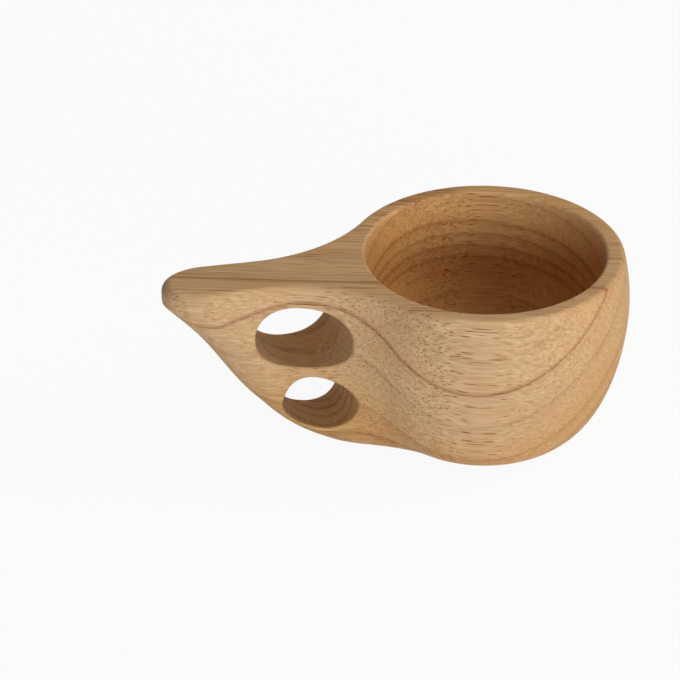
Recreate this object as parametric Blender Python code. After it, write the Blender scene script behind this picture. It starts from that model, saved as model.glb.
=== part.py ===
"""A wooden kuksa: a round drinking bowl with a two-finger handle.

The frame is in metres with +Z up. The origin is the centre of the flat base, on the bowl's axis,
and the handle points along -X. The real cup is carved from one block. Here the bowl and the handle
are two nodes, parted by an upright plane at the handle's root.
"""

import math

import bmesh
import bpy
import numpy as np

MM = 0.001

# Bowl, outside
BOWL_HEIGHT = 63.0 * MM
BASE_RADIUS = 20.0 * MM
BELLY_RADIUS = 45.3 * MM
BELLY_HEIGHT = 46.0 * MM
RIM_RADIUS = 43.2 * MM
RIM_OUTER_ROUND = 1.5 * MM
# Exponents of the curve from the belly down to the base: a plain ellipse has 2 and 2
BELLY_DROP_POWER = 1.79
BELLY_TUCK_POWER = 2.33

# Bowl, inside
CAVITY_RADIUS = 37.5 * MM
CAVITY_DEPTH = 48.0 * MM
CAVITY_CORNER = 24.0 * MM
RIM_INNER_ROUND = 1.25 * MM

# Handle: a flat-topped fin, level with the rim
HANDLE_REACH = 102.0 * MM
TIP_THICKNESS = 13.0 * MM
TIP_NOSE = 13.0 * MM
TOP_HALF_WIDTH = 10.5 * MM
HEEL_HALF_WIDTH = 9.0 * MM
HANDLE_TOP_ROUND = 3.2 * MM
TOP_FLARE_RADIUS = 50.0 * MM
HEEL_FLARE_RADIUS = 34.0 * MM
HEEL_ROOT_HEIGHT = 0.6 * MM
HEEL_HEIGHT = 3.3 * MM
HEEL_SETBACK = 3.5 * MM

# Finger holes: ovals that run across the handle
UPPER_HOLE_ROOT_WALL = 8.2 * MM
UPPER_HOLE_LENGTH = 29.0 * MM
UPPER_HOLE_COVER = 7.0 * MM
UPPER_HOLE_TILT = math.radians(4.0)
LOWER_HOLE_ROOT_WALL = 6.0 * MM
LOWER_HOLE_LENGTH = 22.5 * MM
LOWER_HOLE_TILT = math.radians(20.0)
HOLE_BAR = 4.3 * MM
# The upper hole's share of the height that the two holes fill
UPPER_HOLE_SHARE = 0.5255
HOLE_ROUNDNESS = 2.3
UPPER_END_WALL = 17.0 * MM
LOWER_END_WALL = 7.5 * MM
HEEL_WALL = 7.3 * MM

# Parting between the two nodes
PARTING_WALL = 3.0 * MM
PARTING_GAP = 0.3 * MM

# How finely the shapes are cut into faces
BODY_LEVELS = 32
LEVEL_SAMPLES = 1500
BACK_STEPS = 18
HANDLE_STEPS = 18
CAVITY_SEGMENTS = 60
CAVITY_CORNER_STEPS = 8
EDGE_ROUND_STEPS = 5
HOLE_SEGMENTS = 32
SMOOTH_ANGLE = math.radians(40.0)

# How far a cutter runs past what it cuts, and how close two corners are to count as one
OVERSHOOT = 10.0 * MM
MERGE_DISTANCE = 0.01 * MM

# Pale wood under a clear satin finish, in linear colour
BOWL_COLOUR = (0.60, 0.39, 0.19)
HANDLE_COLOUR = (0.58, 0.38, 0.19)
SATIN_ROUGHNESS = 0.45

# Places that follow from the sizes above
HOLES_HEIGHT = BOWL_HEIGHT - UPPER_HOLE_COVER - HOLE_BAR - HEEL_WALL - HEEL_HEIGHT
UPPER_HOLE_HEIGHT = HOLES_HEIGHT * UPPER_HOLE_SHARE
LOWER_HOLE_HEIGHT = HOLES_HEIGHT - UPPER_HOLE_HEIGHT
UPPER_HOLE_CENTRE = CAVITY_RADIUS + UPPER_HOLE_ROOT_WALL + UPPER_HOLE_LENGTH / 2
UPPER_HOLE_MIDDLE = BOWL_HEIGHT - UPPER_HOLE_COVER - UPPER_HOLE_HEIGHT / 2
LOWER_HOLE_CENTRE = CAVITY_RADIUS + LOWER_HOLE_ROOT_WALL + LOWER_HOLE_LENGTH / 2
LOWER_HOLE_MIDDLE = UPPER_HOLE_MIDDLE - UPPER_HOLE_HEIGHT / 2 - HOLE_BAR - LOWER_HOLE_HEIGHT / 2
PARTING_REACH = CAVITY_RADIUS + PARTING_WALL


def monotone_curve(knots):
    """Return a smooth function through the knots (input, output) that never overshoots them."""
    inputs, outputs = (np.array(column) for column in zip(*sorted(knots)))
    slopes = np.diff(outputs) / np.diff(inputs)
    before, after = slopes[:-1], slopes[1:]
    same_way = before * after > 0.0
    middle = np.where(same_way, 2.0 * before * after / np.where(same_way, before + after, 1.0), 0.0)
    tangents = np.concatenate((slopes[:1], middle, slopes[-1:]))

    def value(at):
        part = int(np.clip(np.searchsorted(inputs, at) - 1, 0, len(slopes) - 1))
        span = inputs[part + 1] - inputs[part]
        t = min(max((at - inputs[part]) / span, 0.0), 1.0)
        start, end = outputs[part], outputs[part + 1]
        rise = t * t * (3.0 - 2.0 * t)
        lead = t * (1.0 - t) ** 2 * tangents[part] * span
        tail = t * t * (t - 1.0) * tangents[part + 1] * span
        return start + (end - start) * rise + lead + tail

    return value


def edge_inset(height, rounding):
    """Return how far a top edge of that rounding has drawn in at a height."""
    climb = max(height - (BOWL_HEIGHT - rounding), 0.0)
    return rounding - math.sqrt(max(rounding * rounding - climb * climb, 0.0))


def bowl_radius(height):
    """Return the bowl's outer radius at a height, without its rounded rim edge."""
    if height >= BELLY_HEIGHT:
        share = (height - BELLY_HEIGHT) / (BOWL_HEIGHT - BELLY_HEIGHT)
        return BELLY_RADIUS - (BELLY_RADIUS - RIM_RADIUS) * share**2
    share = 1.0 - height / BELLY_HEIGHT
    swell = (1.0 - share**BELLY_DROP_POWER) ** (1.0 / BELLY_TUCK_POWER)
    return BASE_RADIUS + (BELLY_RADIUS - BASE_RADIUS) * swell


handle_edge = monotone_curve(
    [
        (HEEL_ROOT_HEIGHT, bowl_radius(HEEL_ROOT_HEIGHT)),
        (HEEL_HEIGHT, LOWER_HOLE_CENTRE - HEEL_SETBACK),
        (LOWER_HOLE_MIDDLE, LOWER_HOLE_CENTRE + LOWER_HOLE_LENGTH / 2 + LOWER_END_WALL),
        (UPPER_HOLE_MIDDLE, UPPER_HOLE_CENTRE + UPPER_HOLE_LENGTH / 2 + UPPER_END_WALL),
        (BOWL_HEIGHT - TIP_THICKNESS / 2, HANDLE_REACH),
    ]
)


def plan_outline(height):
    """Return one side of the outline at a height, from the bowl's back round to the handle's tip.

    The first number of a point is its distance from the bowl's axis towards the tip.
    """
    share = height / BOWL_HEIGHT
    handle_inset = edge_inset(height, HANDLE_TOP_ROUND)
    radius = bowl_radius(height) - edge_inset(height, RIM_OUTER_ROUND)
    half_width = HEEL_HALF_WIDTH + (TOP_HALF_WIDTH - HEEL_HALF_WIDTH) * share - handle_inset
    flare = HEEL_FLARE_RADIUS + (TOP_FLARE_RADIUS - HEEL_FLARE_RADIUS) * share
    tip = radius
    if height > HEEL_ROOT_HEIGHT:
        tip = max(handle_edge(height) - handle_inset, radius)

    # The flare is an arc that touches the bowl's circle and the handle's straight side
    flare_x = math.sqrt((radius + flare) ** 2 - (half_width + flare) ** 2)
    join_angle = math.atan2(half_width + flare, flare_x)
    join_x = radius * math.cos(join_angle)
    nose = min(TIP_NOSE, tip - join_x)

    points = []
    for step in range(BACK_STEPS + 1):
        angle = math.pi + (join_angle - math.pi) * step / BACK_STEPS
        points.append((radius * math.cos(angle), radius * math.sin(angle)))
    for step in range(1, HANDLE_STEPS + 1):
        x = join_x + (tip - join_x) * math.sin(step / HANDLE_STEPS * math.pi / 2)
        side = half_width
        if x < flare_x:
            side += flare - math.sqrt(flare**2 - (flare_x - x) ** 2)
        past_nose = max(x - (tip - nose), 0.0) / nose
        side *= math.sqrt(max(1.0 - past_nose**2, 0.0))
        points.append((x, max(side, math.sqrt(max(radius**2 - x**2, 0.0)))))
    points[0] = (-radius, 0.0)
    points[-1] = (tip, 0.0)
    return points


def level_heights():
    """Return heights for the outlines, closer together where the shape changes quickly."""
    shoulder = BOWL_HEIGHT - max(RIM_OUTER_ROUND, HANDLE_TOP_ROUND)
    samples = np.linspace(0.0, shoulder, LEVEL_SAMPLES)
    outlines = np.array([plan_outline(height) for height in samples])
    moves = np.abs(np.diff(outlines, axis=0)).max(axis=(1, 2))
    travel = np.concatenate(([0.0], np.cumsum(np.hypot(moves, np.diff(samples)))))
    body = np.interp(np.linspace(0.0, travel[-1], BODY_LEVELS), travel, samples)
    turns = np.linspace(0.0, math.pi / 2, EDGE_ROUND_STEPS + 2)[1:]
    return [*body, *(shoulder + (BOWL_HEIGHT - shoulder) * np.sin(turns))]


def carved_blank():
    """Return a mesh of the cup's outside, bowl and handle in one skin with flat top and base."""
    build = bmesh.new()
    rings = []
    for height in level_heights():
        side = plan_outline(height)
        loop = side + [(x, -y) for x, y in reversed(side[1:-1])]
        rings.append([build.verts.new((-x, y, height)) for x, y in loop])
    for lower, upper in zip(rings, rings[1:]):
        for index in range(len(lower)):
            ahead = (index + 1) % len(lower)
            build.faces.new((lower[index], lower[ahead], upper[ahead], upper[index]))
    build.faces.new(rings[0])
    build.faces.new(rings[-1])
    bmesh.ops.recalc_face_normals(build, faces=build.faces)
    mesh = bpy.data.meshes.new("carved_blank")
    build.to_mesh(mesh)
    build.free()
    return mesh


def new_object(name, mesh):
    """Link a mesh to the scene under a name and return its object."""
    piece = bpy.data.objects.new(name, mesh)
    bpy.context.scene.collection.objects.link(piece)
    return piece


def as_cutter(piece):
    """Mark an object as a cutter, which is not a piece of the cup."""
    piece.hide_render = True
    piece.display_type = "WIRE"
    return piece


def cut(piece, cutter):
    """Take a cutter's shape out of a piece."""
    modifier = piece.modifiers.new(cutter.name, "BOOLEAN")
    modifier.operation = "DIFFERENCE"
    modifier.solver = "EXACT"
    modifier.object = cutter


def cavity_cutter():
    """Return the turned shape of the bowl's inside, with the rounded inner edge of the rim."""
    floor = BOWL_HEIGHT - CAVITY_DEPTH
    above = BOWL_HEIGHT + OVERSHOOT
    profile = [(0.0, above), (CAVITY_RADIUS + RIM_INNER_ROUND, above)]
    for step in range(EDGE_ROUND_STEPS + 1):
        turn = math.pi / 2 * step / EDGE_ROUND_STEPS
        radius = CAVITY_RADIUS + RIM_INNER_ROUND * (1.0 - math.sin(turn))
        profile.append((radius, BOWL_HEIGHT - RIM_INNER_ROUND * (1.0 - math.cos(turn))))
    for step in range(CAVITY_CORNER_STEPS + 1):
        turn = math.pi / 2 * step / CAVITY_CORNER_STEPS
        radius = CAVITY_RADIUS - CAVITY_CORNER * (1.0 - math.cos(turn))
        profile.append((radius, floor + CAVITY_CORNER * (1.0 - math.sin(turn))))
    profile.append((0.0, floor))

    build = bmesh.new()
    verts = [build.verts.new((radius, 0.0, height)) for radius, height in profile]
    edges = [build.edges.new(pair) for pair in zip(verts, verts[1:])]
    bmesh.ops.spin(
        build,
        geom=verts + edges,
        cent=(0.0, 0.0, 0.0),
        axis=(0.0, 0.0, 1.0),
        angle=2 * math.pi,
        steps=CAVITY_SEGMENTS,
        use_merge=True,
    )
    bmesh.ops.remove_doubles(build, verts=build.verts, dist=MERGE_DISTANCE)
    bmesh.ops.recalc_face_normals(build, faces=build.faces)
    mesh = bpy.data.meshes.new("cavity_cutter")
    build.to_mesh(mesh)
    build.free()
    return as_cutter(new_object("cavity_cutter", mesh))


def finger_hole_cutter(name, centre, middle, length, height, tilt):
    """Return an oval bar along Y that makes a finger hole.

    centre is the hole's distance from the bowl's axis, and middle its height above the base. A tilt
    lifts the end towards the handle's tip.
    """
    reach = BELLY_RADIUS + OVERSHOOT
    build = bmesh.new()
    ring = []
    for step in range(HOLE_SEGMENTS):
        angle = 2 * math.pi * step / HOLE_SEGMENTS
        along = math.copysign(abs(math.cos(angle)) ** (2 / HOLE_ROUNDNESS), math.cos(angle))
        up = math.copysign(abs(math.sin(angle)) ** (2 / HOLE_ROUNDNESS), math.sin(angle))
        out = along * length / 2 * math.cos(tilt) - up * height / 2 * math.sin(tilt)
        rise = along * length / 2 * math.sin(tilt) + up * height / 2 * math.cos(tilt)
        ring.append(build.verts.new((-centre - out, -reach, middle + rise)))
    face = build.faces.new(ring)
    run = bmesh.ops.extrude_face_region(build, geom=[face])
    moved = [item for item in run["geom"] if isinstance(item, bmesh.types.BMVert)]
    bmesh.ops.translate(build, verts=moved, vec=(0.0, 2 * reach, 0.0))
    bmesh.ops.recalc_face_normals(build, faces=build.faces)
    mesh = bpy.data.meshes.new(name)
    build.to_mesh(mesh)
    build.free()
    return as_cutter(new_object(name, mesh))


def side_cutter(name, start, end):
    """Return a block that takes away all of the blank between two distances from the bowl's axis."""
    build = bmesh.new()
    bmesh.ops.create_cube(build, size=1.0)
    width = 2 * (BELLY_RADIUS + OVERSHOOT)
    bmesh.ops.scale(build, verts=build.verts, vec=(end - start, width, BOWL_HEIGHT + 2 * OVERSHOOT))
    bmesh.ops.translate(build, verts=build.verts, vec=(-(start + end) / 2, 0.0, BOWL_HEIGHT / 2))
    mesh = bpy.data.meshes.new(name)
    build.to_mesh(mesh)
    build.free()
    return as_cutter(new_object(name, mesh))


def satin_rubberwood(name, colour):
    """Return a material of pale wood under a clear satin finish."""
    material = bpy.data.materials.new(name)
    material.use_nodes = True
    shader = material.node_tree.nodes["Principled BSDF"]
    shader.inputs["Base Color"].default_value = (*colour, 1.0)
    shader.inputs["Roughness"].default_value = SATIN_ROUGHNESS
    shader.inputs["Metallic"].default_value = 0.0
    return material


def finish(piece, material):
    """Give a piece its material and smooth shading that keeps its crisp edges."""
    piece.data.materials.append(material)
    piece.data.shade_smooth()
    piece.data.set_sharp_from_angle(angle=SMOOTH_ANGLE)


def build_bowl():
    """Return the bowl, hollowed and cut square at the handle's root."""
    bowl = new_object("bowl", carved_blank())
    cut(bowl, cavity_cutter())
    cut(bowl, side_cutter("handle_side_cutter", PARTING_REACH, HANDLE_REACH + OVERSHOOT))
    finish(bowl, satin_rubberwood("bowl_rubberwood", BOWL_COLOUR))
    return bowl


def build_handle():
    """Return the handle, cut square at its root and pierced by two finger holes."""
    handle = new_object("handle", carved_blank())
    cut(handle, side_cutter("bowl_side_cutter", -BELLY_RADIUS - OVERSHOOT, PARTING_REACH + PARTING_GAP))
    upper = (UPPER_HOLE_CENTRE, UPPER_HOLE_MIDDLE, UPPER_HOLE_LENGTH, UPPER_HOLE_HEIGHT, UPPER_HOLE_TILT)
    lower = (LOWER_HOLE_CENTRE, LOWER_HOLE_MIDDLE, LOWER_HOLE_LENGTH, LOWER_HOLE_HEIGHT, LOWER_HOLE_TILT)
    cut(handle, finger_hole_cutter("upper_finger_hole_cutter", *upper))
    cut(handle, finger_hole_cutter("lower_finger_hole_cutter", *lower))
    finish(handle, satin_rubberwood("handle_rubberwood", HANDLE_COLOUR))
    return handle


def main():
    """Clear the scene and build the two nodes."""
    for old in list(bpy.data.objects):
        bpy.data.objects.remove(old, do_unlink=True)
    build_bowl()
    build_handle()


main()
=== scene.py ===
"""A wooden kuksa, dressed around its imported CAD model.

The cup is one block of rubberwood, so one carved piece stands for both CAD nodes. All sizes are in
metres in the CAD frame: +Z up, the origin at the centre of the flat base, the handle along -X.
"""

import logging
import math
from collections.abc import Callable, Sequence
from dataclasses import dataclass, field
from enum import Enum

import bmesh
import bpy
import numpy as np
from mathutils import Euler, Matrix, Vector


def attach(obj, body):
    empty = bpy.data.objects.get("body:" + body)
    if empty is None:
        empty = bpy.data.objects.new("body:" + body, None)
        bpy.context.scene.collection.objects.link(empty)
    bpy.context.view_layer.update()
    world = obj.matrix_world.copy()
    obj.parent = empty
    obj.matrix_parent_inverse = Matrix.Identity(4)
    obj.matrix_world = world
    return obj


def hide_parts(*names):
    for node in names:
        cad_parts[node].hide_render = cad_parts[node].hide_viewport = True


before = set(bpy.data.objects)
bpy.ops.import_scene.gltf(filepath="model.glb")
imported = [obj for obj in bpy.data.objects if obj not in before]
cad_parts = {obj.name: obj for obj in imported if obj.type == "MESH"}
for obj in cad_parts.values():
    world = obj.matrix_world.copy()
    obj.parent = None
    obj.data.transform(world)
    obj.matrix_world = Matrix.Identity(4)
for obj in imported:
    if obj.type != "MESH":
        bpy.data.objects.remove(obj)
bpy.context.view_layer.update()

LOG = logging.getLogger("kuksa")
MM = 0.001

Plan = list[tuple[float, float]]
Curve = Callable[[float], float]


def linear(hex_colour: str) -> tuple[float, float, float, float]:
    """Turn an sRGB hex colour into linear light.

    Args:
        hex_colour: six hex digits, with or without a leading hash.

    Returns:
        Red, green, blue and an alpha of 1.
    """
    digits = hex_colour.lstrip("#")
    shares = [int(digits[place : place + 2], 16) / 255 for place in (0, 2, 4)]
    light = [s / 12.92 if s <= 0.04045 else ((s + 0.055) / 1.055) ** 2.4 for s in shares]
    return (*light, 1.0)


def add_node(
    tree: bpy.types.NodeTree, kind: str, links: dict | None = None, **settings: object
) -> bpy.types.Node:
    """Add a node with its settings, values and links.

    Args:
        tree: the node tree that takes the node.
        kind: the node's type name in Blender.
        links: for an input's name or number, an output to link or a value to set.
        settings: the node's own properties.

    Returns:
        The new node.
    """
    node = tree.nodes.new(kind)
    for name, value in settings.items():
        setattr(node, name, value)
    for key, source in (links or {}).items():
        if isinstance(source, bpy.types.NodeSocket):
            tree.links.new(source, node.inputs[key])
        else:
            node.inputs[key].default_value = source
    return node


def monotone_curve(knots: Sequence[tuple[float, float]]) -> Curve:
    """Make a smooth function through knots that never overshoots them.

    Args:
        knots: pairs of input and output, in any order.

    Returns:
        The function from input to output.
    """
    inputs, outputs = (np.array(column) for column in zip(*sorted(knots)))
    slopes = np.diff(outputs) / np.diff(inputs)
    before, after = slopes[:-1], slopes[1:]
    same_way = before * after > 0.0
    middle = np.where(same_way, 2.0 * before * after / np.where(same_way, before + after, 1.0), 0.0)
    tangents = np.concatenate((slopes[:1], middle, slopes[-1:]))

    def value(at: float) -> float:
        """Return the curve's output at one input."""
        part = int(np.clip(np.searchsorted(inputs, at) - 1, 0, len(slopes) - 1))
        span = inputs[part + 1] - inputs[part]
        t = min(max((at - inputs[part]) / span, 0.0), 1.0)
        start, end = outputs[part], outputs[part + 1]
        rise = t * t * (3.0 - 2.0 * t)
        lead = t * (1.0 - t) ** 2 * tangents[part] * span
        tail = t * t * (t - 1.0) * tangents[part + 1] * span
        return start + (end - start) * rise + lead + tail

    return value


class Workbench:
    """The few hand tools that shape a piece in Blender."""

    @staticmethod
    def clear_selection() -> None:
        """Leave edit mode and deselect everything."""
        if bpy.context.object and bpy.context.object.mode != "OBJECT":
            bpy.ops.object.mode_set(mode="OBJECT")
        bpy.ops.object.select_all(action="DESELECT")

    @staticmethod
    def disc(name: str, corners: int) -> bpy.types.Object:
        """Add a filled circle to extrude from.

        Args:
            name: the object's name.
            corners: how many corners it has.

        Returns:
            The disc, in edit mode.
        """
        Workbench.clear_selection()
        bpy.ops.mesh.primitive_circle_add(vertices=corners, radius=MM, fill_type="NGON")
        piece = bpy.context.object
        piece.name = name
        bpy.ops.object.mode_set(mode="EDIT")
        bpy.ops.mesh.select_mode(type="FACE")
        bpy.ops.mesh.select_all(action="SELECT")
        return piece

    @staticmethod
    def place_selected_face(piece: bpy.types.Object, points: Sequence[tuple[float, float, float]]) -> None:
        """Move the corners of the one selected face to given points.

        Args:
            piece: an object in edit mode with one face selected.
            points: one place for each corner, in the face's own order.
        """
        build = bmesh.from_edit_mesh(piece.data)
        chosen = next(face for face in build.faces if face.select)
        for corner, point in zip(chosen.verts, points):
            corner.co = point
        bmesh.update_edit_mesh(piece.data)

    @staticmethod
    def extrude(shift: tuple[float, float, float]) -> None:
        """Extrude what is selected by a shift."""
        bpy.ops.mesh.extrude_region_move(TRANSFORM_OT_translate={"value": shift})

    @staticmethod
    def close_shell(piece: bpy.types.Object, merge: float = 0.001 * MM) -> bpy.types.Object:
        """Merge doubled corners, turn all faces outwards and leave edit mode."""
        bpy.ops.mesh.select_mode(type="VERT")
        bpy.ops.mesh.select_all(action="SELECT")
        bpy.ops.mesh.remove_doubles(threshold=merge)
        bpy.ops.mesh.normals_make_consistent(inside=False)
        bpy.ops.object.mode_set(mode="OBJECT")
        return piece

    @staticmethod
    def apply(piece: bpy.types.Object, kind: str, **settings: object) -> None:
        """Add a modifier to a piece, set it and apply it.

        Args:
            piece: the object that is changed.
            kind: the modifier's type name in Blender.
            settings: the modifier's properties.
        """
        Workbench.clear_selection()
        piece.select_set(True)
        bpy.context.view_layer.objects.active = piece
        bpy.ops.object.modifier_add(type=kind)
        modifier = piece.modifiers[-1]
        for name, value in settings.items():
            setattr(modifier, name, value)
        bpy.ops.object.modifier_apply(modifier=modifier.name)

    @staticmethod
    def carve(piece: bpy.types.Object, cutter: bpy.types.Object) -> None:
        """Take a cutter's shape out of a piece and throw the cutter away."""
        Workbench.apply(piece, "BOOLEAN", operation="DIFFERENCE", solver="EXACT", object=cutter)
        bpy.data.objects.remove(cutter, do_unlink=True)


@dataclass(frozen=True)
class GrowthRing:
    """One growth ring's line of late wood.

    Outwards from the pith the wood tans over the haze, darkens to the line and clears again over a
    share of the line's width.
    """

    radius_mm: float
    depth: float
    line_mm: float
    haze: float
    haze_mm: float
    clearing: float = 0.6

    def stops(self) -> Plan:
        """List the ring's stops from the pith outwards, as radius and darkness."""
        inner = self.radius_mm - self.line_mm
        return [
            (inner - self.haze_mm, 0.0),
            (inner, self.haze),
            (self.radius_mm, self.depth),
            (self.radius_mm + self.clearing * self.line_mm, 0.0),
        ]


@dataclass(frozen=True)
class RubberwoodFinish:
    """Rubberwood, carved, sanded and given a clear satin oil.

    To the eye: golden straw with fine fibre streaks, reddish growth lines that lie on cylinders about
    the pith, and brown vessels that show as dashes along the grain and as dots where the surface cuts
    across it. The oil leaves a low soft sheen. Single fibres and vessels are too fine to show, so
    fibres are drawn in bundles and vessels up to twice as wide as they grow.
    """

    name: str = "rubberwood_satin"
    pale: str = "#E6C79D"
    gold: str = "#C89B6B"
    blush: str = "#D6A77E"
    ray: str = "#EBCB9A"
    heart_tint: str = "#FFF4D9"
    end_grain_tint: str = "#F5F0E9"
    late_tint: str = "#A8794C"
    vessel_tint: str = "#B6895A"
    pith_place: tuple[float, float, float] = (8.3 * MM, 40.9 * MM, -19.0 * MM)
    pith_turn: tuple[float, float, float] = (0.0, math.radians(5.0), math.radians(-20.5))
    grain_turn: tuple[float, float, float] = (0.0, math.radians(1.0), math.radians(-15.0))
    noise_middle: tuple[float, float] = (0.3, 0.7)
    ring_span_mm: float = 130.0
    ring_ramps: int = 3
    ring_stop_gap_mm: float = 0.05
    ring_unevenness: tuple[float, float] = (0.8, 1.1)
    rings: tuple[GrowthRing, ...] = (
        GrowthRing(29.0, 0.20, 1.2, 0.08, 5.0),
        GrowthRing(38.0, 0.18, 1.0, 0.08, 4.0),
        GrowthRing(47.4, 0.24, 0.8, 0.08, 4.0),
        GrowthRing(54.2, 0.18, 0.8, 0.04, 2.0),
        GrowthRing(58.7, 0.40, 1.6, 0.07, 3.5),
        GrowthRing(62.6, 0.46, 1.5, 0.14, 4.0),
        GrowthRing(66.8, 0.38, 1.7, 0.08, 2.5),
        GrowthRing(71.6, 0.42, 1.7, 0.10, 2.5),
        GrowthRing(80.8, 0.30, 1.1, 0.12, 3.5),
        GrowthRing(94.4, 0.24, 1.1, 0.08, 3.0),
        GrowthRing(103.5, 1.0, 0.6, 0.07, 5.0),
        GrowthRing(110.9, 0.15, 1.0, 0.06, 2.5),
        GrowthRing(114.1, 0.20, 0.8, 0.05, 2.0),
        GrowthRing(121.0, 0.14, 1.0, 0.04, 2.0),
    )
    heart_mm: tuple[float, float] = (76.0, 92.0)
    ring_fray_mm: float = 0.7
    drift_mm: float = 1.0
    drift_size_mm: tuple[float, float] = (60.0, 18.0)
    drift_detail: float = 4.0
    fibre_size_mm: tuple[float, float] = (40.0, 0.7)
    fibre_detail: float = 4.0
    fibre_raggedness: float = 0.6
    streak_range: tuple[float, float] = (0.32, 0.68)
    tone_size_mm: tuple[float, float] = (60.0, 8.0)
    tone_detail: float = 3.0
    rosy_range: tuple[float, float] = (0.45, 0.75)
    rosy_share: float = 0.6
    end_grain: tuple[float, float] = (0.2, 0.95)
    ray_size_mm: tuple[float, float, float] = (2.5, 0.55, 4.0)
    ray_detail: float = 1.0
    ray_range: tuple[float, float] = (0.45, 0.7)
    ray_share: float = 0.5
    vessel_size_mm: tuple[float, float] = (95.0, 0.58)
    vessel_core: float = 0.04
    vessel_edge: float = 0.20
    vessel_spread: float = 0.17
    vessel_open: tuple[float, float] = (0.0, 0.55)
    vessel_shown: tuple[float, float] = (0.95, 0.42)
    vessel_crowding: float = 2.2
    roughness: tuple[float, float] = (0.50, 0.62)
    ior: float = 1.5
    specular: float = 0.14
    bump_mm: float = 0.05
    bump_strength: float = 0.5
    fibre_relief: float = 0.35

    def ring_lines(
        self, tree: bpy.types.NodeTree, distance: bpy.types.NodeSocket, rings: Sequence[GrowthRing]
    ) -> bpy.types.NodeSocket:
        """Draw growth rings as stops of one ramp, which holds 32 stops.

        Args:
            tree: the node tree.
            distance: the distance from the pith, as a share of the ring span.
            rings: the rings, from the pith outwards.

        Returns:
            The output that says how dark the late wood is.
        """
        ramp = add_node(tree, "ShaderNodeValToRGB", {"Fac": distance})
        ramp.color_ramp.interpolation = "EASE"
        elements = ramp.color_ramp.elements
        elements[0].position, elements[1].position = 0.0, 1.0
        elements[0].color = elements[1].color = (0.0, 0.0, 0.0, 1.0)
        last = 0.0
        for ring in rings:
            for spot, dark in ring.stops():
                last = max(spot + self.ring_fray_mm / 2, last + self.ring_stop_gap_mm)
                elements.new(last / self.ring_span_mm).color = (dark, dark, dark, 1.0)
        return ramp.outputs["Color"]

    def material(self) -> bpy.types.Material:
        """Build the wood's node material.

        Returns:
            The material.
        """
        material = bpy.data.materials.new(self.name)
        material.use_nodes = True
        tree = material.node_tree
        shader = tree.nodes["Principled BSDF"]
        noise_low, noise_high = self.noise_middle

        # Ring space and grain space: X runs along the pith and along the fibres, in millimetres from
        # the pith. The fibres drift slowly, and the rings don't
        surface = add_node(tree, "ShaderNodeTexCoord").outputs
        ringed, straight = (
            add_node(
                tree,
                "ShaderNodeMapping",
                {"Vector": surface["Object"], "Location": self.pith_place, "Rotation": turn,
                 "Scale": (MM, MM, MM)},
                vector_type="TEXTURE",
            ).outputs["Vector"]
            for turn in (self.pith_turn, self.grain_turn)
        )
        along, across = self.drift_size_mm
        slow = add_node(
            tree,
            "ShaderNodeVectorMath",
            {0: straight, 1: (1 / along, 1 / across, 1 / across)},
            operation="MULTIPLY",
        ).outputs[0]
        sway = add_node(
            tree, "ShaderNodeTexNoise", {"Vector": slow, "Scale": 1.0, "Detail": self.drift_detail}
        ).outputs["Color"]
        swing = (0.0, self.drift_mm, self.drift_mm)
        drift = add_node(
            tree,
            "ShaderNodeVectorMath",
            {0: sway, 1: [2 * reach for reach in swing], 2: [-reach for reach in swing]},
            operation="MULTIPLY_ADD",
        ).outputs[0]
        grain = add_node(
            tree, "ShaderNodeVectorMath", {0: straight, 1: drift}, operation="ADD"
        ).outputs[0]
        fibre_space, tone_space, vessel_space = (
            add_node(
                tree,
                "ShaderNodeVectorMath",
                {0: grain, 1: (1 / along, 1 / across, 1 / across)},
                operation="MULTIPLY",
            ).outputs[0]
            for along, across in (self.fibre_size_mm, self.tone_size_mm, self.vessel_size_mm)
        )

        # Fibre streaks and slow changes of tone
        fibre = add_node(
            tree,
            "ShaderNodeTexNoise",
            {"Vector": fibre_space, "Scale": 1.0, "Detail": self.fibre_detail,
             "Roughness": self.fibre_raggedness},
        ).outputs["Fac"]
        tone = add_node(
            tree, "ShaderNodeTexNoise", {"Vector": tone_space, "Scale": 1.0, "Detail": self.tone_detail}
        ).outputs["Fac"]

        # Growth rings: the distance from the pith, frayed by the fibres
        ring_space = add_node(
            tree,
            "ShaderNodeVectorMath",
            {0: ringed, 1: (0.0, 1 / self.ring_span_mm, 1 / self.ring_span_mm)},
            operation="MULTIPLY",
        ).outputs[0]
        distance = add_node(
            tree, "ShaderNodeVectorMath", {0: ring_space}, operation="LENGTH"
        ).outputs["Value"]
        frayed = add_node(
            tree,
            "ShaderNodeMath",
            {0: fibre, 1: self.ring_fray_mm / self.ring_span_mm, 2: distance},
            operation="MULTIPLY_ADD",
        ).outputs[0]
        late: bpy.types.NodeSocket | float = 0.0
        for first in range(self.ring_ramps):
            lines = self.ring_lines(tree, frayed, self.rings[first :: self.ring_ramps])
            late = add_node(tree, "ShaderNodeMath", {0: late, 1: lines}, operation="MAXIMUM").outputs[0]
        faint, strong = self.ring_unevenness
        uneven = add_node(
            tree,
            "ShaderNodeMapRange",
            {"Value": tone, "From Min": noise_low, "From Max": noise_high,
             "To Min": faint, "To Max": strong},
        ).outputs["Result"]
        line = add_node(tree, "ShaderNodeMath", {0: late, 1: uneven}, operation="MULTIPLY").outputs[0]

        # How squarely the surface cuts across the grain
        grain_way = Euler(self.grain_turn).to_matrix() @ Vector((1.0, 0.0, 0.0))
        cut = add_node(
            tree, "ShaderNodeVectorMath", {0: surface["Normal"], 1: grain_way}, operation="DOT_PRODUCT"
        ).outputs["Value"]
        squarely = add_node(tree, "ShaderNodeMath", {0: cut}, operation="ABSOLUTE").outputs[0]
        slight, full = self.end_grain
        end = add_node(
            tree, "ShaderNodeMapRange", {"Value": squarely, "From Min": slight, "From Max": full}
        ).outputs["Result"]

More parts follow.
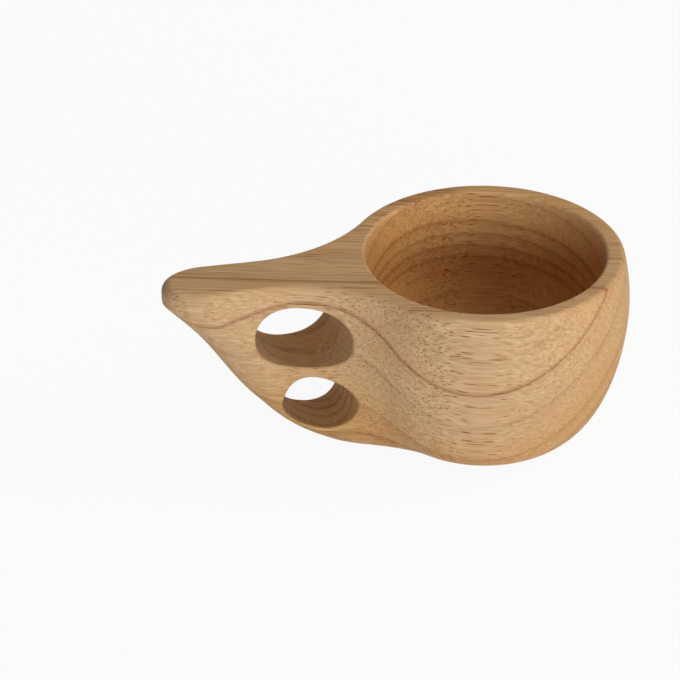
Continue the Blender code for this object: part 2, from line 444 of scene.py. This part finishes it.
        # Vessels: long thin tubes, of which some are closed. They crowd at the rings and are fainter
        # in square cuts
        cells = add_node(
            tree, "ShaderNodeTexVoronoi", {"Vector": vessel_space, "Scale": 1.0, "Randomness": 1.0}
        )
        lot = add_node(tree, "ShaderNodeSeparateColor", {"Color": cells.outputs["Color"]}).outputs["Red"]
        bore = add_node(
            tree,
            "ShaderNodeMath",
            {0: lot, 1: -self.vessel_spread, 2: cells.outputs["Distance"]},
            operation="MULTIPLY_ADD",
        ).outputs[0]
        tube = add_node(
            tree,
            "ShaderNodeMapRange",
            {"Value": bore, "From Min": self.vessel_core, "From Max": self.vessel_edge,
             "To Min": 1.0, "To Max": 0.0},
            interpolation_type="SMOOTHSTEP",
        ).outputs["Result"]
        closed, opening = self.vessel_open
        opened = add_node(
            tree, "ShaderNodeMapRange", {"Value": lot, "From Min": closed, "From Max": opening}
        ).outputs["Result"]
        lengthwise, crosswise = self.vessel_shown
        clear = add_node(
            tree, "ShaderNodeMapRange", {"Value": end, "To Min": lengthwise, "To Max": crosswise}
        ).outputs["Result"]
        crowd = add_node(
            tree, "ShaderNodeMath", {0: late, 1: self.vessel_crowding, 2: clear}, operation="MULTIPLY_ADD"
        ).outputs[0]
        shown = add_node(tree, "ShaderNodeMath", {0: opened, 1: crowd}, operation="MULTIPLY").outputs[0]
        vessel = add_node(
            tree, "ShaderNodeMath", {0: tube, 1: shown}, operation="MULTIPLY", use_clamp=True
        ).outputs[0]

        # Rays: fine pale strokes that point at the pith, seen where the grain is cut across. Their
        # width is taken half-way out to the ring span
        parts = add_node(tree, "ShaderNodeSeparateXYZ", {"Vector": ringed}).outputs
        angle = add_node(
            tree, "ShaderNodeMath", {0: parts["Z"], 1: parts["Y"]}, operation="ARCTAN2"
        ).outputs[0]
        polar = add_node(
            tree, "ShaderNodeCombineXYZ", {"X": parts["X"], "Y": angle, "Z": distance}
        ).outputs["Vector"]
        ray_long, ray_wide, ray_deep = self.ray_size_mm
        ray_space = add_node(
            tree,
            "ShaderNodeVectorMath",
            {0: polar, 1: (1 / ray_long, self.ring_span_mm / 2 / ray_wide, self.ring_span_mm / ray_deep)},
            operation="MULTIPLY",
        ).outputs[0]
        strokes = add_node(
            tree, "ShaderNodeTexNoise", {"Vector": ray_space, "Scale": 1.0, "Detail": self.ray_detail}
        ).outputs["Fac"]
        faint, strong = self.ray_range
        bright = add_node(
            tree,
            "ShaderNodeMapRange",
            {"Value": strokes, "From Min": faint, "From Max": strong, "To Max": self.ray_share},
        ).outputs["Result"]
        fleck = add_node(tree, "ShaderNodeMath", {0: bright, 1: end}, operation="MULTIPLY").outputs[0]

        # Colour: straw with gold streaks, a blush and rays, then the heart's and the end grain's tints,
        # then late wood and vessels
        faint, strong = self.streak_range
        streak = add_node(
            tree, "ShaderNodeMapRange", {"Value": fibre, "From Min": faint, "From Max": strong}
        ).outputs["Result"]
        faint, strong = self.rosy_range
        rosy = add_node(
            tree,
            "ShaderNodeMapRange",
            {"Value": tone, "From Min": faint, "From Max": strong, "To Max": self.rosy_share},
        ).outputs["Result"]
        inner, outer = (radius / self.ring_span_mm for radius in self.heart_mm)
        heart = add_node(
            tree,
            "ShaderNodeMapRange",
            {"Value": distance, "From Min": inner, "From Max": outer, "To Min": 1.0, "To Max": 0.0},
        ).outputs["Result"]
        colour: bpy.types.NodeSocket | tuple[float, float, float, float] = linear(self.pale)
        for share, shade, blend in (
            (streak, self.gold, "MIX"),
            (rosy, self.blush, "MIX"),
            (fleck, self.ray, "MIX"),
            (heart, self.heart_tint, "MULTIPLY"),
            (end, self.end_grain_tint, "MULTIPLY"),
            (line, self.late_tint, "MULTIPLY"),
            (vessel, self.vessel_tint, "MULTIPLY"),
        ):
            colour = add_node(
                tree,
                "ShaderNodeMix",
                {0: share, 6: colour, 7: linear(shade)},
                data_type="RGBA",
                blend_type=blend,
            ).outputs[2]
        tree.links.new(colour, shader.inputs["Base Color"])

        # Satin: closed fibres are smoother, and the open vessels are fine grooves
        low, high = self.roughness
        rough = add_node(
            tree,
            "ShaderNodeMapRange",
            {"Value": fibre, "From Min": noise_low, "From Max": noise_high, "To Min": low, "To Max": high},
        ).outputs["Result"]
        tree.links.new(rough, shader.inputs["Roughness"])
        shader.inputs["IOR"].default_value = self.ior
        shader.inputs["Specular IOR Level"].default_value = self.specular
        height = add_node(
            tree, "ShaderNodeMath", {0: fibre, 1: self.fibre_relief, 2: vessel}, operation="MULTIPLY_ADD"
        ).outputs[0]
        bump = add_node(
            tree,
            "ShaderNodeBump",
            {"Height": height, "Strength": self.bump_strength, "Distance": self.bump_mm * MM},
            invert=True,
        ).outputs["Normal"]
        tree.links.new(bump, shader.inputs["Normal"])
        return material


@dataclass(frozen=True)
class FingerHole:
    """An oval hole across the handle.

    The end that is nearer the tip is lifted by the tilt.
    """

    centre: float
    middle: float
    length: float
    height: float
    tilt: float
    roundness: float = 2.3

    def outline(self, corners: int) -> Plan:
        """List the oval's corners as reach from the bowl's axis and height.

        Args:
            corners: how many corners it has.

        Returns:
            The corners in order.
        """
        points = []
        for step in range(corners):
            angle = 2 * math.pi * step / corners
            cosine, sine = math.cos(angle), math.sin(angle)
            along = math.copysign(abs(cosine) ** (2 / self.roundness), cosine) * self.length / 2
            up = math.copysign(abs(sine) ** (2 / self.roundness), sine) * self.height / 2
            out = along * math.cos(self.tilt) - up * math.sin(self.tilt)
            rise = along * math.sin(self.tilt) + up * math.cos(self.tilt)
            points.append((self.centre + out, self.middle + rise))
        return points


@dataclass
class CarvedCup:
    """The cup: a round bowl and a two-finger handle, carved from one block."""

    bowl_height: float = 63.0 * MM
    base_radius: float = 20.0 * MM
    belly_radius: float = 45.3 * MM
    belly_height: float = 46.0 * MM
    rim_radius: float = 43.2 * MM
    rim_outer_round: float = 1.5 * MM
    belly_drop_power: float = 1.79
    belly_tuck_power: float = 2.33
    cavity_radius: float = 37.5 * MM
    cavity_depth: float = 48.0 * MM
    cavity_corner: float = 24.0 * MM
    rim_inner_round: float = 1.25 * MM
    handle_reach: float = 102.0 * MM
    tip_thickness: float = 13.0 * MM
    tip_nose: float = 13.0 * MM
    top_half_width: float = 10.5 * MM
    heel_half_width: float = 9.0 * MM
    handle_top_round: float = 3.2 * MM
    top_flare: float = 50.0 * MM
    heel_flare: float = 34.0 * MM
    heel_root_height: float = 0.6 * MM
    heel_height: float = 3.3 * MM
    heel_setback: float = 3.5 * MM
    upper_end_wall: float = 17.0 * MM
    lower_end_wall: float = 7.5 * MM
    upper_hole: FingerHole = FingerHole(60.2 * MM, 45.2 * MM, 29.0 * MM, 21.6 * MM, math.radians(4.0))
    lower_hole: FingerHole = FingerHole(54.75 * MM, 20.35 * MM, 22.5 * MM, 19.5 * MM, math.radians(20.0))
    hole_edge_round: float = 0.7 * MM
    hole_edge_turn: float = math.radians(80.0)
    hole_edge_clearance: float = 0.21 * MM
    hole_edge_steps: int = 7
    overshoot: float = 10.0 * MM
    levels: int = 90
    level_samples: int = 1500
    edge_steps: int = 16
    back_steps: int = 70
    handle_steps: int = 80
    cavity_steps: int = 200
    corner_steps: int = 30
    hole_corners: int = 120
    crease_angle: float = math.radians(38.0)
    handle_edge: Curve = field(init=False)

    def __post_init__(self) -> None:
        """Draw the handle's edge from the base to the tip, as seen from its side."""
        upper, lower = self.upper_hole, self.lower_hole
        self.handle_edge = monotone_curve(
            [
                (self.heel_root_height, self.bowl_radius(self.heel_root_height)),
                (self.heel_height, lower.centre - self.heel_setback),
                (lower.middle, lower.centre + lower.length / 2 + self.lower_end_wall),
                (upper.middle, upper.centre + upper.length / 2 + self.upper_end_wall),
                (self.bowl_height - self.tip_thickness / 2, self.handle_reach),
            ]
        )

    def edge_inset(self, height: float, rounding: float) -> float:
        """Return how far a top edge of that rounding has drawn in at a height."""
        climb = max(height - (self.bowl_height - rounding), 0.0)
        return rounding - math.sqrt(max(rounding * rounding - climb * climb, 0.0))

    def bowl_radius(self, height: float) -> float:
        """Return the bowl's outer radius at a height, without its rounded rim edge."""
        if height >= self.belly_height:
            share = (height - self.belly_height) / (self.bowl_height - self.belly_height)
            return self.belly_radius - (self.belly_radius - self.rim_radius) * share**2
        share = 1.0 - height / self.belly_height
        swell = (1.0 - share**self.belly_drop_power) ** (1.0 / self.belly_tuck_power)
        return self.base_radius + (self.belly_radius - self.base_radius) * swell

    def plan_outline(self, height: float) -> Plan:
        """Draw one side of the cup's outline at a height.

        Args:
            height: the height above the base.

        Returns:
            Points from the bowl's back to the handle's tip: reach towards the tip, and half width.
        """
        share = height / self.bowl_height
        handle_inset = self.edge_inset(height, self.handle_top_round)
        radius = self.bowl_radius(height) - self.edge_inset(height, self.rim_outer_round)
        widening = (self.top_half_width - self.heel_half_width) * share
        half_width = self.heel_half_width + widening - handle_inset
        flare = self.heel_flare + (self.top_flare - self.heel_flare) * share
        tip = radius
        if height > self.heel_root_height:
            tip = max(self.handle_edge(height) - handle_inset, radius)

        # The flare is an arc that touches the bowl's circle and the handle's straight side
        flare_x = math.sqrt((radius + flare) ** 2 - (half_width + flare) ** 2)
        join_angle = math.atan2(half_width + flare, flare_x)
        join_x = radius * math.cos(join_angle)
        nose = min(self.tip_nose, tip - join_x)

        points = []
        for step in range(self.back_steps + 1):
            angle = math.pi + (join_angle - math.pi) * step / self.back_steps
            points.append((radius * math.cos(angle), radius * math.sin(angle)))
        for step in range(1, self.handle_steps + 1):
            x = join_x + (tip - join_x) * math.sin(step / self.handle_steps * math.pi / 2)
            side = half_width
            if x < flare_x:
                side += flare - math.sqrt(flare**2 - (flare_x - x) ** 2)
            past_nose = max(x - (tip - nose), 0.0) / nose
            side *= math.sqrt(max(1.0 - past_nose**2, 0.0))
            points.append((x, max(side, math.sqrt(max(radius**2 - x**2, 0.0)))))
        points[0] = (-radius, 0.0)
        points[-1] = (tip, 0.0)
        return points

    def level_heights(self) -> list[float]:
        """Return heights for the outlines, closer together where the shape changes quickly."""
        shoulder = self.bowl_height - max(self.rim_outer_round, self.handle_top_round)
        samples = np.linspace(0.0, shoulder, self.level_samples)
        outlines = np.array([self.plan_outline(height) for height in samples])
        moves = np.abs(np.diff(outlines, axis=0)).max(axis=(1, 2))
        travel = np.concatenate(([0.0], np.cumsum(np.hypot(moves, np.diff(samples)))))
        body = np.interp(np.linspace(0.0, travel[-1], self.levels), travel, samples)
        turns = np.linspace(0.0, math.pi / 2, self.edge_steps + 2)[1:]
        return [*body, *(shoulder + (self.bowl_height - shoulder) * np.sin(turns))]

    def blank(self) -> bpy.types.Object:
        """Raise the solid outside of the cup, outline by outline, from a disc.

        Returns:
            The blank, with flat top and base.
        """
        corners = 2 * (self.back_steps + self.handle_steps)
        piece = Workbench.disc("carved_cup", corners)
        heights = self.level_heights()
        for number, height in enumerate(heights):
            if number:
                Workbench.extrude((0.0, 0.0, height - heights[number - 1]))
            side = self.plan_outline(height)
            loop = side + [(x, -y) for x, y in reversed(side[1:-1])]
            Workbench.place_selected_face(piece, [(-x, y, height) for x, y in loop])
        return Workbench.close_shell(piece)

    def cavity_cutter(self) -> bpy.types.Object:
        """Turn the shape of the bowl's inside, with the rounded inner edge of the rim.

        Returns:
            The cutter.
        """
        floor = self.bowl_height - self.cavity_depth
        above = self.bowl_height + self.overshoot
        profile = [(0.0, above), (self.cavity_radius + self.rim_inner_round, above)]
        for step in range(self.edge_steps + 1):
            turn = math.pi / 2 * step / self.edge_steps
            radius = self.cavity_radius + self.rim_inner_round * (1.0 - math.sin(turn))
            profile.append((radius, self.bowl_height - self.rim_inner_round * (1.0 - math.cos(turn))))
        for step in range(self.corner_steps + 1):
            turn = math.pi / 2 * step / self.corner_steps
            radius = self.cavity_radius - self.cavity_corner * (1.0 - math.cos(turn))
            profile.append((radius, floor + self.cavity_corner * (1.0 - math.sin(turn))))
        profile.append((0.0, floor))

        piece = Workbench.disc("cavity_cutter", 3)
        bpy.ops.mesh.merge(type="CENTER")
        bpy.ops.mesh.select_mode(type="VERT")
        bpy.ops.mesh.select_all(action="SELECT")
        bpy.ops.transform.translate(value=(profile[0][0], 0.0, profile[0][1]))
        for (old_radius, old_height), (radius, height) in zip(profile, profile[1:]):
            Workbench.extrude((radius - old_radius, 0.0, height - old_height))
        bpy.ops.mesh.select_all(action="SELECT")
        bpy.ops.mesh.spin(
            steps=self.cavity_steps, angle=2 * math.pi, center=(0.0, 0.0, 0.0), axis=(0.0, 0.0, 1.0)
        )
        return Workbench.close_shell(piece)

    def half_width(self, reach: float, height: float) -> float:
        """Return how far the cup's side is from its upright middle plane at a reach and a height."""
        side = self.plan_outline(height)[self.back_steps :]
        return float(np.interp(reach, [x for x, _ in side], [y for _, y in side]))

    def finger_hole_cutter(self, name: str, hole: FingerHole) -> bpy.types.Object:
        """Extrude an oval bar across the handle, flared where it leaves so that the edges are eased.

        Args:
            name: the cutter's name.
            hole: the oval and its place.

        Returns:
            The cutter.
        """
        oval = np.array(hole.outline(self.hole_corners))
        along = np.roll(oval, -1, axis=0) - np.roll(oval, 1, axis=0)
        outward = np.stack((along[:, 1], -along[:, 0]), axis=1) / np.linalg.norm(along, axis=1)[:, None]
        rings = []
        for turn in np.linspace(0.0, self.hole_edge_turn, self.hole_edge_steps + 1):
            spread = oval + outward * self.hole_edge_round * (1.0 - math.cos(turn))
            depth = self.hole_edge_round * (1.0 - math.sin(turn))
            rings.append([(x, self.half_width(x, z) - depth, z) for x, z in spread])
        spread = spread + outward * self.hole_edge_round
        clear = self.hole_edge_clearance
        rings.append([(x, self.half_width(x, z) + clear, z) for x, z in spread])
        rings.append([(x, self.belly_radius + self.overshoot, z) for x, _, z in rings[-1]])
        whole = [[(x, -y, z) for x, y, z in ring] for ring in reversed(rings)] + rings

        piece = Workbench.disc(name, self.hole_corners)
        for number, ring in enumerate(whole):
            if number:
                Workbench.extrude((0.0, MM, 0.0))
            Workbench.place_selected_face(piece, [(-x, y, z) for x, y, z in ring])
        return Workbench.close_shell(piece)

    def build(self) -> bpy.types.Object:
        """Carve the cup.

        Returns:
            The finished mesh object, at the origin.
        """
        cup = self.blank()
        Workbench.carve(cup, self.cavity_cutter())
        Workbench.carve(cup, self.finger_hole_cutter("upper_finger_hole_cutter", self.upper_hole))
        Workbench.carve(cup, self.finger_hole_cutter("lower_finger_hole_cutter", self.lower_hole))
        Workbench.clear_selection()
        cup.select_set(True)
        bpy.context.view_layer.objects.active = cup
        bpy.ops.object.shade_smooth_by_angle(angle=self.crease_angle)
        return cup

    def dress(self, cup: bpy.types.Object, finish: RubberwoodFinish) -> None:
        """Give the cup its finish and tie it to the frame.

        Args:
            cup: the carved mesh object.
            finish: the wood.
        """
        cup.data.materials.clear()
        cup.data.materials.append(finish.material())
        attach(cup, "root")
        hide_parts("bowl", "handle")


@dataclass(frozen=True)
class PaperFinish:
    """Matt background paper, a little cool.

    It has no gloss, and is white to the camera but for a share of its shadow.
    """

    name: str = "matt_white_paper"
    colour: str = "#E8F0FC"
    white: str = "#FFFFFF"
    roughness: float = 0.9
    specular: float = 0.1
    white_share: float = 0.93

    def material(self) -> bpy.types.Material:
        """Build the paper's node material.

        Returns:
            The material.
        """
        material = bpy.data.materials.new(self.name)
        material.use_nodes = True
        tree = material.node_tree
        shader = tree.nodes["Principled BSDF"]
        shader.inputs["Base Color"].default_value = linear(self.colour)
        shader.inputs["Roughness"].default_value = self.roughness
        shader.inputs["Specular IOR Level"].default_value = self.specular
        path = add_node(tree, "ShaderNodeLightPath").outputs
        seen = path["Is Camera Ray"]
        for ray in ("Is Glossy Ray", "Is Transmission Ray"):
            seen = add_node(tree, "ShaderNodeMath", {0: seen, 1: path[ray]}, operation="MAXIMUM").outputs[0]
        share = add_node(
            tree, "ShaderNodeMath", {0: seen, 1: self.white_share}, operation="MULTIPLY"
        ).outputs[0]
        white = add_node(tree, "ShaderNodeEmission", {"Color": linear(self.white), "Strength": 1.0})
        mixed = add_node(
            tree, "ShaderNodeMixShader", {0: share, 1: shader.outputs["BSDF"], 2: white.outputs["Emission"]}
        )
        tree.links.new(mixed.outputs["Shader"], tree.nodes["Material Output"].inputs["Surface"])
        return material


class SoftLight(Enum):
    """The studio's lamps."""

    FRONT = "front_softbox"
    SIDE = "side_softbox"
    TOP = "top_softbox"
    BACK = "back_softbox"


@dataclass(frozen=True)
class Softbox:
    """A softbox that faces the cup.

    The bearing is measured from the camera, positive to the camera's right.
    """

    role: SoftLight
    bearing: float
    elevation: float
    distance: float
    width: float
    height: float
    power: float
    colour: str = "#FFFFFF"


@dataclass
class Studio:
    """A pale floor, soft light and the camera at the photograph's viewing angle.

    The camera's focal length and the aim point's place are in pixels of a square frame.
    """

    azimuth: float = math.radians(-11.5)
    pitch: float = math.radians(31.209)
    distance: float = 1.2
    focal_px: float = 3860.25
    frame_px: float = 680.0
    sensor_mm: float = 36.0
    sight: float = 100.0
    aim: tuple[float, float, float] = (0.0, 0.0, 63.0 * MM)
    aim_px: tuple[float, float] = (485.61, 251.21)
    floor_width: float = 8.0
    floor_finish: PaperFinish = PaperFinish()
    ambient: str = "#FFFFFF"
    ambient_strength: float = 0.10
    lamps: tuple[Softbox, ...] = (
        Softbox(SoftLight.FRONT, math.radians(8.0), math.radians(10.0), 1.4, 1.5, 0.5, 12.2),
        Softbox(SoftLight.SIDE, math.radians(90.0), math.radians(42.0), 1.4, 0.9, 0.9, 10.2, "#FFF0DA"),
        Softbox(SoftLight.TOP, math.radians(150.0), math.radians(80.0), 1.4, 0.9, 0.9, 1.3, "#FFF0DA"),
        Softbox(SoftLight.BACK, math.radians(188.0), math.radians(5.0), 1.4, 1.5, 0.4, 4.2, "#FFF0DA"),
    )

    def place_camera(self) -> bpy.types.Object:
        """Set the camera so that the aim point falls on its place in the frame.

        Returns:
            The camera.
        """
        right = Vector((math.cos(self.azimuth), math.sin(self.azimuth), 0.0))
        ahead = Vector(
            (
                -math.sin(self.azimuth) * math.cos(self.pitch),
                math.cos(self.azimuth) * math.cos(self.pitch),
                -math.sin(self.pitch),
            )
        )
        up = right.cross(ahead)
        scale = self.distance / self.focal_px
        middle = self.frame_px / 2
        place = (
            Vector(self.aim)
            - right * ((self.aim_px[0] - middle) * scale)
            - up * ((middle - self.aim_px[1]) * scale)
            - ahead * self.distance
        )
        Workbench.clear_selection()
        bpy.ops.object.camera_add(location=place)
        camera = bpy.context.object
        camera.name = "photo_camera"
        turn = Matrix((right, up, -ahead)).transposed()
        camera.rotation_euler = turn.to_euler()
        camera.data.sensor_width = self.sensor_mm
        camera.data.lens = self.focal_px * self.sensor_mm / self.frame_px
        camera.data.clip_end = self.sight
        bpy.context.scene.camera = camera
        return camera

    def lay_floor(self) -> bpy.types.Object:
        """Lay a pale floor that keeps the cup's shadow.

        Returns:
            The floor.
        """
        Workbench.clear_selection()
        bpy.ops.mesh.primitive_plane_add(size=self.floor_width)
        floor = bpy.context.object
        floor.name = "paper_floor"
        floor.data.materials.append(self.floor_finish.material())
        return floor

    def hang_lamps(self) -> None:
        """Hang the softboxes round the cup and set the room's even light."""
        target = Vector((0.0, 0.0, self.aim[2] / 2))
        for lamp in self.lamps:
            heading = self.azimuth + lamp.bearing - math.pi / 2
            level = math.cos(lamp.elevation)
            away = Vector((math.cos(heading) * level, math.sin(heading) * level, math.sin(lamp.elevation)))
            Workbench.clear_selection()
            bpy.ops.object.light_add(type="AREA", location=target + away * lamp.distance)
            light = bpy.context.object
            light.name = lamp.role.value
            light.rotation_euler = away.to_track_quat("Z", "Y").to_euler()
            light.data.shape = "RECTANGLE"
            light.data.size = lamp.width
            light.data.size_y = lamp.height
            light.data.energy = lamp.power
            light.data.color = linear(lamp.colour)[:3]
        scene = bpy.context.scene
        scene.world = scene.world or bpy.data.worlds.new("studio")
        scene.world.use_nodes = True
        tree = scene.world.node_tree
        back = tree.nodes.get("Background") or add_node(tree, "ShaderNodeBackground")
        back.inputs["Color"].default_value = linear(self.ambient)
        back.inputs["Strength"].default_value = self.ambient_strength
        scene.view_settings.view_transform = "Standard"


def main() -> None:
    """Build the cup and the studio, and report each piece."""
    logging.basicConfig(level=logging.INFO, format="%(name)s: %(message)s")
    studio = Studio()
    studio.place_camera()
    studio.lay_floor()
    studio.hang_lamps()
    design = CarvedCup()
    cup = design.build()
    design.dress(cup, RubberwoodFinish())
    LOG.info("%s: %d faces", cup.name, len(cup.data.polygons))


if __name__ == "__main__":
    main()
